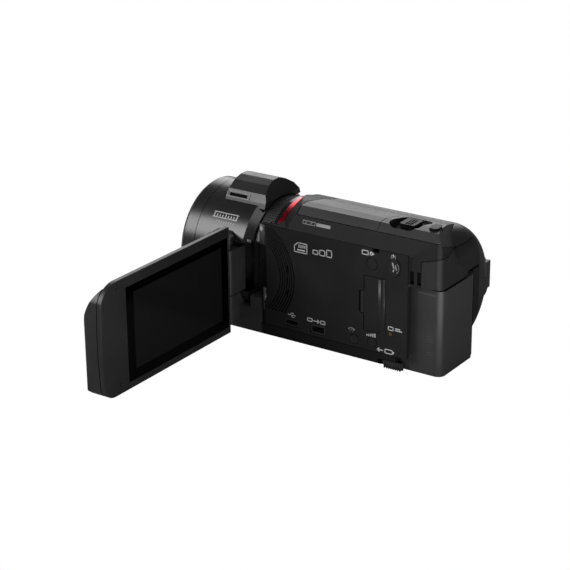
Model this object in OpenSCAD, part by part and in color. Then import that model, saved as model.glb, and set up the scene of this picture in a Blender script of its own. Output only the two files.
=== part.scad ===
// Handheld camcorder with a flip-out screen, built from separate parts.
// Frame: origin at the tripod socket mouth on the flat base, lens towards -Y,
// screen side towards +X, +Z up. Millimetres. Drawn with the screen open.

/* [Lens] */
// Height of the optical axis above the base
axis_z = 34; // [30:0.5:38]
// Outer radius of the lens barrel
barrel_r = 31; // [28:0.5:33]
// Front face of the lens ring
ring_front_y = -68.4; // [-75:0.1:-65]
// Seam between the lens ring and the barrel
ring_back_y = -59.9; // [-62:0.1:-56]
// Rear edge of the barrel
barrel_back_y = -32; // [-36:0.5:-28]
// Radius of the coloured ring on the neck
accent_r = 27.4; // [26:0.1:28]

/* [Body] */
// Screen-side face of the body
side_x = 29; // [26:0.5:31]
// Front edge of the screen-side plate
side_front_y = -21; // [-25:0.5:-18]
// Rear edge of the screen-side plate
side_back_y = 60.6; // [58:0.1:62]
// Rear face above the battery
rear_y = 76.6; // [74:0.5:80]
// Casing wall thickness
wall = 2.2; // [1.8:0.1:3]
// Gap at the seams between casings
seam = 0.3; // [0.2:0.05:0.5]

/* [Screen] */
// Panel length from hinge edge to free end
panel_len = 96.2; // [90:0.1:100]
// Panel height
panel_h = 54.4; // [50:0.1:58]
// Panel thickness
panel_t = 11.5; // [9:0.1:13]
// Lower edge of the panel
panel_z = 2.4; // [1:0.1:5]
// Upright hinge axis, sideways
hinge_x = 33.5; // [32:0.1:35]
// Upright hinge axis, lengthways
hinge_y = -37.1; // [-40:0.1:-35]

/* [Battery] */
// Battery width
batt_w = 31; // [28:0.5:34]
// Battery height
batt_h = 42.2; // [38:0.1:45]
// Battery depth
batt_d = 21.7; // [20:0.1:26]

/* [Hidden] */
fine = 96;
arc = 48;
screen_y = -33.4;
panel_x = 37.1;
panel_mid_y = screen_y - panel_t / 2;
tilt_z = panel_z + panel_h / 2;
block_z0 = 20.6;
block_z1 = 43.4;
pocket_x = 20.2;
pocket_y = -50.6;
pocket_z1 = 46.6;
batt_x0 = -6.5;
batt_y0 = 54.5;
bay_wall_y = 52;
over_z = 44;
neck_z = 36;
neck_r = 26;
top_seam_y = 42.3;
top_y0 = -1;
collar_y = -13.2;
ring_z = 52.6;
ring_room = 29;
tube_hole = 19.8;
mic_y0 = -49.4;
mic_y1 = -39;
lug_top = 49.4;
strap_cx = 59;
strap_r = 102.6;
strap_bars = [[-35, -10], [-32.6, 65.1]];
split_x = -13.4;
end_y = 61;
end_round = 13;
plate_t = 2.2;

// ---------- helpers ----------

// Extrudes a front-view (x, z) outline from y0 to y1.
module along_y(y0, y1) {
  translate([0, y1, 0])
    rotate([90, 0, 0])
      linear_extrude(y1 - y0)
        children();
}

// Extrudes a side-view (y, z) outline from x0 to x1.
module along_x(x0, x1) {
  translate([x0, 0, 0])
    rotate([90, 0, 90])
      linear_extrude(x1 - x0)
        children();
}

// Extrudes a plan outline from z0 to z1.
module along_z(z0, z1) {
  translate([0, 0, z0])
    linear_extrude(z1 - z0)
      children();
}

// Box from its low corner to its high corner.
module box(a, b) {
  translate(a)
    cube(b - a);
}

// Cylinder along Y at (x, z).
module rod_y(x, z, y0, y1, r) {
  translate([x, y1, z])
    rotate([90, 0, 0])
      cylinder(h = y1 - y0, r = r, $fn = fine);
}

// Cone along Y at (x, z), radius r0 at y0 and r1 at y1.
module cone_y(x, z, y0, y1, r0, r1) {
  translate([x, y1, z])
    rotate([90, 0, 0])
      cylinder(h = y1 - y0, r1 = r1, r2 = r0, $fn = fine);
}

// Cylinder along X at (y, z).
module rod_x(y, z, x0, x1, r) {
  translate([x0, y, z])
    rotate([0, 90, 0])
      cylinder(h = x1 - x0, r = r, $fn = arc);
}

// Cylinder along Z at (x, y).
module rod_z(x, y, z0, z1, r) {
  translate([x, y, z0])
    cylinder(h = z1 - z0, r = r, $fn = arc);
}

// Rounded rectangle from low corner a to high corner b, exact corner arcs.
module round_rect(a, b, r) {
  translate([a[0] + r, a[1]])
    square([b[0] - a[0] - 2 * r, b[1] - a[1]]);
  translate([a[0], a[1] + r])
    square([b[0] - a[0], b[1] - a[1] - 2 * r]);
  for (x = [a[0] + r, b[0] - r])
    for (z = [a[1] + r, b[1] - r])
      translate([x, z])
        circle(r = r, $fn = arc);
}

// ---------- body outline ----------

// Front-view outline of the flat-sided left half of the body.
module left_outline() {
  polygon([
    [-12.8, 0], [25, 0], [27.5, 1.4], [side_x, 7.3], [side_x, 58.7], [27, 66.4],
    [23.5, 69.8], [18, 70.1], [5, 67.6], [-13.4, 62], [-20, 50],
    [-22, 20], [-21, 12], [-16.5, 7.5]
  ]);
}

// Left half inside, one wall further in.
module left_inside() {
  polygon([
    [-11.4, wall], [24, wall], [26.6, 7.6], [26.6, 58.4], [24.8, 65.4],
    [22.6, 67.6], [18, 67.9], [5, 65.4], [-13, 59.9], [-18, 49],
    [-19, 20], [-18, 13], [-14, 8.6]
  ]);
}

// Plan outline that bevels the rear corners of the body.
module plan_outline() {
  r = 3.5;
  polygon([[-31.5, -60], [29.5, -60], [29.5, 60], [26.9, rear_y - r], [26.9 - r, rear_y],
    [-3.5, rear_y], [-8, end_y + end_round + 0.3], [-31.5, end_y + end_round + 0.3]]);
  translate([26.9 - r, rear_y - r])
    circle(r = r, $fn = arc);
}

// Side outline with the rounded rear top edge.
module side_outline() {
  r = 4.5;
  translate([-60, -1])
    square([60 + rear_y - r, 80]);
  translate([-60, -1])
    square([60 + rear_y, 71.2 - r]);
  translate([rear_y - r, 70.2 - r])
    circle(r = r, $fn = arc);
}

// Full outside of the body behind the neck.
module body_outer() {
  intersection() {
    union() {
      along_y(side_front_y, end_y)
        left_outline();
      intersection() {
        along_y(end_y - 1, rear_y)
          left_outline();
        box([-8, 50, -1], [40, 90, 80]);
        in_front_of_lean(0);
      }
      hand_side();
    }
    along_z(-1, 80)
      plan_outline();
    along_x(-40, 40)
      side_outline();
  }
}

// Round hand side with its rounded rear end, turned about the optical axis.
module hand_side() {
  translate([0, 0, axis_z])
    rotate([90, 0, 0])
      rotate_extrude($fn = fine)
        union() {
          translate([0, -end_y])
            square([barrel_r, end_y - side_front_y]);
          translate([0, -end_y - end_round])
            square([barrel_r - end_round, end_round + 1]);
          intersection() {
            translate([barrel_r - end_round, -end_y])
              circle(r = end_round, $fn = fine);
            translate([0, -end_y - end_round - 1])
              square([barrel_r + 1, end_round + 2]);
          }
        }
}

// Everything in front of the leaning face that cuts the upper left rear
// corner, moved inwards by inset.
module in_front_of_lean(inset) {
  translate([-31, 68, 34])
    rotate([0, -22.5, 110.8])
      translate([-160 - inset, -100, -100])
        cube([160, 200, 200]);
}

// Hollow of the body in front of the battery wall and above the battery.
module body_inside() {
  along_y(top_y0 + 2, bay_wall_y)
    left_inside();
  difference() {
    union() {
      intersection() {
        along_y(side_front_y + 2, top_y0 + 3)
          left_inside();
        box([-40, -30, 0], [40, 0, 50]);
      }
      rod_y(0, axis_z, side_front_y + 2, bay_wall_y, barrel_r - wall);
    }
    // thick wall behind the recess of the coloured ring
    box([-40, side_front_y, 50], [40, collar_y + 2, 80]);
  }
  intersection() {
    along_y(bay_wall_y - 1, 74)
      left_inside();
    box([-12, 50, over_z + wall], [40, 75.8, 66.5]);
    in_front_of_lean(2.4);
  }
  intersection() {
    rod_y(0, axis_z, 50, 60, barrel_r - wall);
    box([-40, 50, 4], [-9.5, 60, 70]);
  }
}

// Space the battery and its slide-out path take up.
module battery_bay() {
  box([batt_x0 - 0.9, batt_y0 - 0.4, -2], [50, 90, over_z]);
}

// Space behind the side plate at the front, where the hinge block swings.
module hinge_recess() {
  box([pocket_x, pocket_y, block_z0 - 0.4], [60, side_front_y + 0.2, pocket_z1]);
}

// Wall that closes the hinge pocket towards the lens.
module pocket_wall(y0, y1) {
  box([pocket_x - 1.3, y0, block_z0 - 1.6], [60, y1, pocket_z1 + 1.2]);
}

module body_shell() {
  difference() {
    body_outer();
    body_inside();
    battery_bay();
    rod_y(0, neck_z, side_front_y - 1, side_front_y + 3, tube_hole);
    // recess for the coloured ring, open towards the lens
    intersection() {
      rod_y(0, neck_z, side_front_y - 1, collar_y, ring_room);
      box([-40, -40, ring_z - 0.3], [40, 0, 80]);
    }
    collar_cut();
    // room behind the top edge of the side plate
    box([0, -40, 54], [26.5, collar_y, 90]);
  }
}

// Room around the flared collar between the coloured ring and the top cover.
module collar_cut() {
  difference() {
    box([-60, -40, 58.7], [60, top_y0, 90]);
    cone_y(0, neck_z, collar_y, top_y0 + 0.01, 30, 41.3);
  }
}

// Outline of the top covers: everything above the bright side line.
module top_zone(grow) {
  polygon([
    [40, 66.4 - grow], [26, 66.4 - grow], [24.4 - grow, 64.5 - grow],
    [split_x - grow, 52], [split_x - grow, 80], [40, 80]
  ]);
}

// ---------- casings ----------

module bottom_plate() {
  color("dimgray")
    difference() {
      union() {
        box([-11, -17, 0], [17, 42, 1.8]);
        rod_z(0, 0, 1.7, 5.4, 7);
      }
      rod_z(0, 0, -1, 9, 5);
      for (p = [[-7, -13], [13, -13], [-7, 38], [13, 38]])
        rod_z(p[0], p[1], -1, 4, 1.25);
    }
}

module tripod_socket() {
  color("silver")
    difference() {
      union() {
        rod_z(0, 0, 0, 5.8, 4.96);
        rod_z(0, 0, 5.5, 7, 7);
      }
      rod_z(0, 0, -1, 6.2, 3.175);
    }
}

module left_case() {
  color([0.1, 0.1, 0.11])
    difference() {
      intersection() {
        body_shell();
        box([split_x, -60, -1], [60, 90, 80]);
      }
      along_y(top_y0 - 0.3, 90)
        top_zone(0.3);
      // opening for the side plate
      box([26.5, side_front_y - 1, 7.3], [60, side_back_y, 58.7]);
      plate_corners(0.3);
      // step that clears the hinge block
      hinge_recess();
      // recess for the bottom plate
      box([-11.3, -17.3, -1], [17.3, 42.3, 2.1]);
      rod_z(0, 0, 0, 8, 7.4);
      // rear cover opening
      rear_zone(0.3);
      // latch slider slot and battery terminal opening
      box([24.7, 44.3, -1], [40, 57, 4.2]);
      box([0, 51, 12], [18, 56, 22]);
      port_cuts();
      lug_cut();
    }
}

module lug_cut() {
  difference() {
    box([26.9, 61.4, 45.2], [31, 66.6, 51.6]);
    rod_z(28.1, 64, 45, 52, 0.9);
  }
}

// Rounded front corners of the side plate, above and below the hinge.
module plate_corners(grow) {
  r = 3 + grow;
  for (z = [[pocket_z1 + 1, 58.4], [7.6, block_z0 - 0.8]])
    intersection() {
      rod_z(side_x - 3, side_front_y + 3, z[0] - grow, z[1] + grow, r);
      box([0, -60, -1], [60, side_front_y + 3.2 + grow, 80]);
    }
}

module right_case() {
  color([0.09, 0.09, 0.1])
    difference() {
      intersection() {
        body_shell();
        box([-60, -60, -1], [split_x - seam, 90, 80]);
      }
      // jack opening
      jack_cut();
      // strap lug seats
      box([-40, 62.3, 25.1], [-25.3, 75, 39.3]);
      box([-40, -12.8, 25.1], [-28.5, -7.2, 39.3]);
      // record button seat
      rod_y(-19.4, 30, 58, 80, 5.1);
    }
}

module jack_cut() {
  box([-22.6, 58, 13.9], [-14.6, 80, 22.1]);
}

module port_cuts() {
  box([20, -8.2, 9.2], [40, 0.6, 13.2]);
  box([20, 7.2, 8.6], [40, 15.6, 13.4]);
}

// Screen-side plate with its openings.
module side_plate() {
  color([0.12, 0.12, 0.13])
    difference() {
      union() {
        along_x(26.8, side_x)
          polygon([[side_front_y + 3, 7.6], [side_back_y - 0.3, 7.6], [side_back_y - 0.3, 58.4],
            [45.2, 58.4], [45.2, 56.6], [41.4, 56.6], [41.4, 58.4], [side_front_y + 3, 58.4]]);
        plate_corners(0);
      }
      // clearance for the hinge block
      box([10, -40, block_z0 - 0.8], [40, side_front_y + 3.4, pocket_z1 + 1]);
      // card door opening
      box([20, 36.8, 17.2], [40, 48.8, 44.8]);
      knuckle_slot();
      port_cuts();
      rod_x(41.3, 50.8, 20, 40, 3.0);
      along_x(20, 40)
        round_rect([49.7, 46.7], [56.3, 55.9], 3.2);
      rod_x(31.8, 11.2, 20, 40, 2.6);
      rod_x(41.7, 12, 20, 40, 2.6);
      rod_x(51.4, 18.3, 20, 40, 0.9);
      vent_grooves();
    }
}

module knuckle_slot() {
  along_x(20, 40)
    round_rect([34.2, 25.2], [38.2, 36.8], 1.2);
}

// Concentric air grooves over the fan.
module vent_grooves() {
  vent_y = -30.7;
  vent_z = 33.1;
  intersection() {
    box([27.9, -17.5, 15.6], [40, 0, 57.4]);
    for (i = [0:6])
      translate([28, vent_y, vent_z])
        rotate([0, 90, 0])
          difference() {
            cylinder(h = 5, r = 21.3 + i * 1.3, $fn = fine);
            translate([0, 0, -1])
              cylinder(h = 7, r = 20.7 + i * 1.3, $fn = fine);
          }
  }
  // air slots through the plate
  for (z = [24, 30, 36])
    box([20, -6.4, z], [40, -5.4, z + 4]);
}

module top_cover() {
  color([0.13, 0.13, 0.14])
    difference() {
      intersection() {
        body_outer();
        along_y(top_y0, top_seam_y)
          top_zone(0);
      }
      along_y(top_y0 + 2, 60)
        left_inside();
    }
}

// Recess for the zoom lever, an ellipse-like bowl in the top.
module lever_recess(depth) {
  along_z(70.3 - depth, 80)
    round_rect([5.8, 45.6], [24.6, 61.4], 4.4);
}

module rear_top_cover() {
  color([0.14, 0.14, 0.15])
    difference() {
      intersection() {
        body_outer();
        along_y(top_seam_y + seam, rear_y)
          top_zone(0);
        along_x(-40, 40)
          polygon([[40, 50], [90, 62.6], [90, 80], [40, 80]]);
      }
      difference() {
        intersection() {
          along_y(40, rear_y - wall)
            left_inside();
          in_front_of_lean(2.4);
        }
        along_z(60, 80)
          round_rect([4, 44.2], [26.4, 63], 4);
      }
      lever_recess(3.4);
      box([14.6, 51.2, 50], [18.4, 57.6, 80]);
      along_z(50, 80)
        round_rect([14.5, 65.6], [21.9, 70.8], 2.59);
    }
}

// Region of the rear cover.
module rear_zone(grow) {
  along_x(split_x - 0.5, 60)
    polygon([[66.8 - grow, over_z - 1], [90, over_z - 1], [90, 62.6 - 0.3 + grow],
      [66.8 - grow, 56.7 - 0.3 + grow]]);
}

module rear_cover() {
  color([0.11, 0.11, 0.12])
    difference() {
      intersection() {
        body_outer();
        rear_zone(0);
        box([split_x, 60, over_z], [60, 90, 80]);
      }
      intersection() {
        along_y(60, rear_y - wall - 0.4)
          left_inside();
        box([-11, 60, over_z + wall], [60, 90, 80]);
        in_front_of_lean(2.4);
      }
    }
}

module strap_lug_rear() {
  color("dimgray") {
    strap_lug(strap_bars[1]);
    // plate behind the strap loop
    box([-32.8, 68.1, 25.4], [-25.7, 69.9, 39]);
    box([-27.9, 66.4, 25.4], [-26.6, 68.2, 39]);
  }
}

// Lug with an upright bar at p, seated in the case.
module strap_lug(p) {
  x = p[0] + 6.2;
  difference() {
    along_z(25.4, 39)
      round_rect([x - 8, p[1] - 2.5], [x, p[1] + 2.5], 2.4);
    box([x - 10, p[1] - 5, 27.6], [x - 3.2, p[1] + 5, 36.8]);
  }
  rod_z(p[0], p[1], 27.4, 37, 1.2);
}

module strap_lug_front() {
  color("dimgray")
    strap_lug(strap_bars[0]);
}

// ---------- lens end ----------

module neck_housing() {
  color([0.1, 0.1, 0.11])
    difference() {
      union() {
        difference() {
          rod_y(0, neck_z, -31.4, side_front_y - 0.4, neck_r);
          rod_y(0, neck_z, -60, 0, neck_r - wall);
        }
        intersection() {
          rod_y(0, neck_z, -31.4, side_front_y - 0.4, neck_r);
          pocket_wall(-31.4, 0);
        }
        neck_arch();
        chin();
      }
      hinge_recess();
      rod_y(0, axis_z, -60, barrel_back_y + 4.3, barrel_r + 0.3);
      rod_z(hinge_x, hinge_y, 4, 70, 1.53);
      rod_y(0, axis_z, -60, -20, 19.1);
    }
}

// Upper part of the neck that runs back under the rings.
module neck_arch() {
  intersection() {
    difference() {
      rod_y(0, neck_z, -22, collar_y - 0.3, neck_r);
      rod_y(0, neck_z, -60, 0, neck_r - wall);
    }
    box([-40, -40, ring_z], [40, 0, 80]);
  }
}

// Lower nose under the barrel that carries the lower screen hinge.
module chin() {
  along_y(-46, side_front_y - 0.3)
    polygon([[-12.8, 0], [25, 0], [27.5, 1.4], [side_x, 7.3], [side_x, 14], [-23.4, 14],
      [-16.5, 7.5]]);
  // floor of the hinge pocket behind the barrel
  box([8, -27.6, 13.9], [side_x - 0.4, side_front_y - 0.3, block_z0 - 0.5]);
  lug_arm(6, block_z0 - 0.5);
}

// Arm with a rounded end around the upright hinge axis.
module lug_arm(z0, z1) {
  rod_z(hinge_x, hinge_y, z0, z1, 3);
  box([20, hinge_y - 3, z0], [hinge_x, hinge_y + 3, z1]);
}

// Arm from the barrel round to the upright hinge axis.
module upper_arm(z0, z1) {
  rod_z(hinge_x, hinge_y, z0, z1, 2.9);
  along_z(z0, z1)
    polygon([[hinge_x + 2.9, hinge_y], [hinge_x + 2.9, -47], [20, -47], [20, -43.4],
      [hinge_x - 2, hinge_y + 1.6]]);
}

module neck_ring() {
  color("black")
    ring_arch(-20.2, -18, neck_r + 1.1, neck_r + 1.1);
}

// Arch of a ring on the neck from y0 to y1, with outer radii r0 and r1.
module ring_arch(y0, y1, r0, r1) {
  difference() {
    cone_y(0, neck_z, y0, y1, r0, r1);
    rod_y(0, neck_z, -30, 0, neck_r);
    box([-40, -40, -10], [40, 0, ring_z]);
  }
}

module accent_ring() {
  color("crimson")
    ring_arch(-17.9, -15.2, accent_r, accent_r + 0.4);
}

module barrel_housing() {
  color([0.13, 0.13, 0.14])
    difference() {
      union() {
        difference() {
          union() {
            rod_y(0, axis_z, ring_back_y, barrel_back_y, barrel_r);
            cone_y(0, axis_z, barrel_back_y, barrel_back_y + 4, barrel_r, 28.6);
          }
          rod_y(0, axis_z, -70, barrel_back_y + 1, barrel_r - wall);
          rod_y(0, axis_z, -70, 0, 26.6);
        }
        intersection() {
          rod_y(0, axis_z, pocket_y - 1.2, barrel_back_y + 4, barrel_r - 1);
          pocket_wall(pocket_y - 1.2, 0);
        }
        // upper screen hinge arm
        upper_arm(pocket_z1 + 0.1, lug_top + 1);
      }
      hinge_recess();
      rod_y(0, axis_z, -70, barrel_back_y + 1, barrel_r - wall);
      rod_z(hinge_x, hinge_y, 4, lug_top, 1.53);
      // room for the lower nose
      box([-40, -46.3, -10], [40, 0, 14.3]);
      box([27.8, -31.7, 40], [60, 0, 60]);
      // opening under the microphone cover
      box([-10, -47, 60], [10, -30, 80]);
    }
}

module front_ring() {
  color([0.16, 0.16, 0.17])
    difference() {
      union() {
        rod_y(0, axis_z, ring_front_y + 2, ring_back_y - seam, barrel_r);
        cone_y(0, axis_z, ring_front_y, ring_front_y + 2, barrel_r - 1.6, barrel_r);
      }
      cone_y(0, axis_z, ring_front_y - 0.01, -64, 27.6, 26.2);
      rod_y(0, axis_z, -64.2, -50, 27.6);
    }
}

module lens_bezel() {
  color("black")
    difference() {
      rod_y(0, axis_z, -63.8, -62.4, 27.3);
      along_y(-70, -50)
        translate([0, axis_z])
          round_rect([-15, -10], [15, 10], 3);
    }
}

// One half of the lens cover, above (1) or below (-1) the opening.
module cover_half(s) {
  along_y(-61.9, -61.1)
    translate([0, axis_z])
      polygon([[-16.2, s * 10.3], [16.2, s * 10.3], [16.2, s * 20.8], [-16.2, s * 20.8]]);
}

module lens_cover_upper() {
  color("gray")
    cover_half(1);
}

module lens_cover_lower() {
  color("gray")
    cover_half(-1);
}

// Lens element with two ball surfaces, thick in the middle.
module element(y, r, t, ball) {
  intersection() {
    rod_y(0, axis_z, y - t / 2, y + t / 2, r);
    translate([0, y - t / 2 + ball, axis_z])
      sphere(r = ball, $fn = fine);
    translate([0, y + t / 2 - ball, axis_z])
      sphere(r = ball, $fn = fine);
  }
}

module front_lens() {
  ball = 40;
  color("steelblue")
    intersection() {
      rod_y(0, axis_z, -59.6, -53.5, 15.45);
      translate([0, ball - 59.6, axis_z])
        sphere(r = ball, $fn = fine);
    }
}

module lens_tube() {
  color("dimgray")
    difference() {
      union() {
        rod_y(0, axis_z, -60.6, -24, 18);
        rod_y(0, axis_z, -26, -24, 18.7);
      }
      rod_y(0, axis_z, -61, -59.6, 15);
      rod_y(0, axis_z, -59.8, -53, 15.5);
      rod_y(0, axis_z, -53.2, -26, 15);
      box([-7, -30, axis_z - 5], [7, 0, axis_z + 5]);
      for (s = [-1, 1])
        rod_y(s * 12.8, axis_z, -60, -25, 1);
    }
}

module guide_rods() {
  color("silver")
    for (s = [-1, 1])
      rod_y(s * 12.8, axis_z, -52.6, -25.2, 0.95);
}

// Lens holder that runs on the two rods.
module carrier(y, t) {
  difference() {
    union() {
      rod_y(0, axis_z, y - t / 2, y + t / 2, 10);
      box([-14.2, y - t / 2, axis_z - 2.4], [14.2, y + t / 2, axis_z + 2.4]);
    }
    rod_y(0, axis_z, y - t, y + t, 6.6);
    for (s = [-1, 1])
      rod_y(s * 12.8, axis_z, y - t, y + t, 1.0);
  }
}

module zoom_group() {
  color("slategray") {
    carrier(-44, 6);
    element(-44, 6.6, 4, 16);
  }
}

module focus_group() {
  color("slategray") {
    carrier(-31, 4);
    element(-31, 6.6, 3, 18);
  }
}

module image_sensor() {
  color("darkslategray")
    box([-5, -23.4, axis_z - 3.6], [5, -21.6, axis_z + 3.6]);
}

module sensor_board() {
  color("darkgreen")
    box([-13, -21.2, axis_z - 10], [13, -20, axis_z + 10]);
}

// Front-view outline of the microphone cover.
module mic_outline(inset) {
  k = inset;
  polygon([[15.6 - k, 60.2], [14.8 - k, 62.6 - k], [12.2 - k, 66.2 - k], [7.2, 69.3 - k], [2.4, 70.9 - k],
    [-2.4, 70.9 - k], [-7.2, 69.3 - k], [k - 12.2, 66.2 - k], [k - 14.8, 62.6 - k], [k - 15.6, 60.2]]);
}

module mic_cover() {
  color([0.14, 0.14, 0.15])
    difference() {
      intersection() {
        along_y(-51, -27.6)
          mic_outline(0);
        along_x(-30, 30)
          polygon([[-51, 40], [-51, 69.7], [-50, 74], [-32.2, 74], [-31.4, 70.5], [-27.6, 63], [-27.6, 40]]);
      }
      along_y(-49.4, -33)
        mic_outline(1.8);
      rod_y(0, axis_z, -60, barrel_back_y, barrel_r + 0.3);
      cone_y(0, axis_z, barrel_back_y, barrel_back_y + 4, barrel_r + 0.3, 28.9);
      rod_y(0, axis_z, barrel_back_y + 3.9, 0, 28.9);
      box([9, mic_y0, 63.2], [20, mic_y1, 64.6]);
      box([-20, mic_y0, 63.2], [-9, mic_y1, 64.6]);
    }
}

module mic_grille() {
  color("black")
    for (x = [12, -13])
      box([x, mic_y0, 63.2], [x + 1, mic_y1, 64.6]);
}

module mic_capsules() {
  color("silver")
    for (s = [-1, 1])
      rod_x(-42, 62.9, s * 6 - 1.6, s * 6 + 1.6, 2.2);
}

// ---------- inside ----------

module main_board() {
  color("darkgreen")
    difference() {
      box([-9.4, -8, 8], [-8, 48, 52]);
      box([-10, 20, 46], [0, 30, 57]);
    }
}

module fan_frame() {
  color("dimgray")
    difference() {
      box([15, -17, 22], [22, 5, 44]);
      rod_x(-6, 33, 16.2, 23, 10.2);
    }
}

module fan_rotor() {
  color("slategray") {
    rod_x(-6, 33, 16.6, 21, 4);
    for (i = [0:6])
      translate([16.8, -6, 33])
        rotate([i * 360 / 7, 0, 0])
          translate([0, 3.6, -0.5])
            cube([3.8, 5.8, 1]);
  }
}

module speaker() {
  color("gray")
    rod_x(12, 33, 19.6, 23.4, 5.6);
}

module card_socket() {
  color("silver")
    difference() {
      box([-7.6, 40.6, 17.9], [22, 45.5, 44.8]);
      box([-7, 41.7, 19], [30, 44.4, 43.6]);
    }
}

module memory_card() {
  color("royalblue")
    difference() {
      box([-5.8, 42, 19.3], [26.2, 44.1, 43.3]);
      along_y(40, 46)
        polygon([[-6, 43.4], [-6, 39.5], [-1.9, 43.4]]);
    }
}

module usb_port() {
  color("silver")
    difference() {
      box([20.6, -7.9, 9.5], [28.4, 0.3, 12.9]);
      box([22, -7.3, 10.1], [30, -0.3, 12.3]);
      box([28.2, -9, 8], [30, 2, 14]);
    }
}

module video_port() {
  color("silver")
    difference() {
      box([20.6, 7.5, 8.9], [28.4, 15.3, 13.1]);
      box([22, 8.1, 9.5], [30, 14.7, 12.5]);
    }
}

// ---------- controls ----------

module zoom_lever() {
  color([0.1, 0.1, 0.1]) {
    along_z(67.5, 70.1)
      round_rect([12.2, 50.6], [21, 58.4], 1.4);
    box([15, 53.4, 62.5], [18, 55.4, 67.6]);
  }
}

module photo_button() {
  color([0.2, 0.2, 0.2])
    along_z(66.9, 71)
      round_rect([14.8, 65.9], [21.6, 70.5], 2.29);
}

module record_button() {
  color("dimgray")
    rod_y(-19.4, 30, 67, 73.4, 4.8);
}

module power_button() {
  color([0.15, 0.15, 0.15])
    along_x(26.6, side_x + 0.3)
      round_rect([50, 47], [56, 55.6], 2.9);
}

module mode_button() {
  color([0.15, 0.15, 0.15])
    rod_x(41.3, 50.8, 26.6, side_x + 0.1, 2.7);
}

module wireless_button() {
  color([0.15, 0.15, 0.15])
    rod_x(31.8, 11.2, 26.6, side_x + 0.1, 2.3);
}

module level_button() {
  color([0.15, 0.15, 0.15])
    rod_x(41.7, 12, 26.6, side_x + 0.1, 2.3);
}

module access_lamp() {
  color("orange")
    rod_x(51.4, 18.3, 26.6, side_x - 0.1, 0.85);
}

module card_door() {
  color([0.12, 0.12, 0.13]) {
    box([26.9, 37.3, 17.5], [side_x, 45.6, 44.5]);
    along_z(17.5, 44.5)
      polygon([[26.9, 45.5], [side_x, 45.5], [side_x + 0.4, 46.4], [side_x + 0.4, 47.6],
        [side_x - 0.2, 48.5], [26.9, 48.5]]);
    // hinge knuckle and its web
    rod_z(27.9, 35.6, 25.6, 36.4, 1);
    box([27.2, 35.6, 25.6], [28.6, 37.5, 36.4]);
  }
}

module battery_pack() {
  color([0.17, 0.17, 0.18])
    difference() {
      along_z(0.3, 0.3 + batt_h)
        union() {
          round_rect([batt_x0, batt_y0], [batt_x0 + batt_w, batt_y0 + batt_d], 3.6);
          translate([batt_x0, batt_y0])
            square([batt_w, 8]);
        }
      box([-1, batt_y0 - 1, 11], [19, batt_y0 + 1.2, 60]);
    }
}

module battery_terminal() {
  color("goldenrod")
    union() {
      box([0.4, 49, 12.4], [17.6, bay_wall_y + 2.2, 21.6]);
      for (i = [0:3])
        box([2.6 + i * 4, bay_wall_y + 2, 13.5], [3.6 + i * 4, bay_wall_y + 3, 20.5]);
    }
}

module battery_latch() {
  color([0.1, 0.1, 0.1])
    difference() {
      along_y(47, 56.4)
        polygon([[25, 1.2], [26.6, 1.2], [28.6, 3], [28.6, 3.9], [25, 3.9]]);
      for (i = [0:5])
        box([25.8, 47.9 + i * 1.4, 0], [30, 48.5 + i * 1.4, 2.4]);
    }
}

module dc_jack() {
  color("dimgray")
    difference() {
      rod_y(-18.6, 18, 60.4, 68, 3);
      rod_y(-18.6, 18, 62, 70, 1.8);
    }
}

module jack_cover() {
  color([0.1, 0.1, 0.1])
    difference() {
      intersection() {
        box([-22.2, 64, 14.3], [-15, 80, 21.7]);
        body_outer();
      }
      rod_y(-18.6, 18, 60, 68.3, 3.3);
    }
}

// ---------- screen ----------

module hinge_block() {
  color([0.13, 0.13, 0.14])
    difference() {
      union() {
        along_z(block_z0, block_z1)
          round_rect([22.6, -44.6], [34.6, -34], 1.2);
        rod_z(hinge_x, hinge_y, block_z0, block_z1, 3.1);
        box([34, -42.6, 24], [36.6, -35.4, 36]);
      }
      rod_z(hinge_x, hinge_y, 10, 60, 1.53);
      rod_x(panel_mid_y, tilt_z, 28.6, 40, 1.22);
    }
}

module hinge_pins() {
  color("silver") {
    rod_z(hinge_x, hinge_y, 7, block_z0 + 3, 1.5);
    rod_z(hinge_x, hinge_y, block_z1 - 6, lug_top - 0.2, 1.5);
  }
}

module tilt_shaft() {
  color("silver")
    rod_x(panel_mid_y, tilt_z, 28.8, 41.8, 1.2);
}

// Outline of the panel seen from the screen side: bowed free end with a
// large upper and a small lower corner.
module panel_outline(inset) {
  x0 = panel_x + inset;
  x1 = panel_x + panel_len - inset;
  z0 = panel_z + inset;
  z1 = panel_z + panel_h - inset;
  bow = 260;
  r_up = 12 - inset;
  r_low = 8.2 - inset;
  intersection() {
    union() {
      translate([x0, z0])
        square([x1 - x0 - r_up, z1 - z0]);
      translate([x0, z0])
        square([x1 - x0 - r_low, z1 - z0 - r_up]);
      translate([x0, z0 + r_low])
        square([x1 - x0, z1 - z0 - r_up - r_low]);
      translate([x1 - r_up, z1 - r_up])
        circle(r = r_up, $fn = fine);
      translate([x1 - r_low, z0 + r_low])
        circle(r = r_low, $fn = arc);
    }
    translate([x1 - bow, 30])
      circle(r = bow, $fn = 360);
  }
}

module screen_frame() {
  color([0.12, 0.12, 0.13])
    difference() {
      along_y(-35.8, screen_y)
        panel_outline(0);
      // pocket for the glass
      box([38.2, -35, 5.6], [115.2, -30, 51.7]);
      // opening for the display
      box([42.5, -40, 9.6], [111, -30, 49.2]);
      along_y(-38, -35.4)
        panel_outline(1.8);
    }
}

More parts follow.
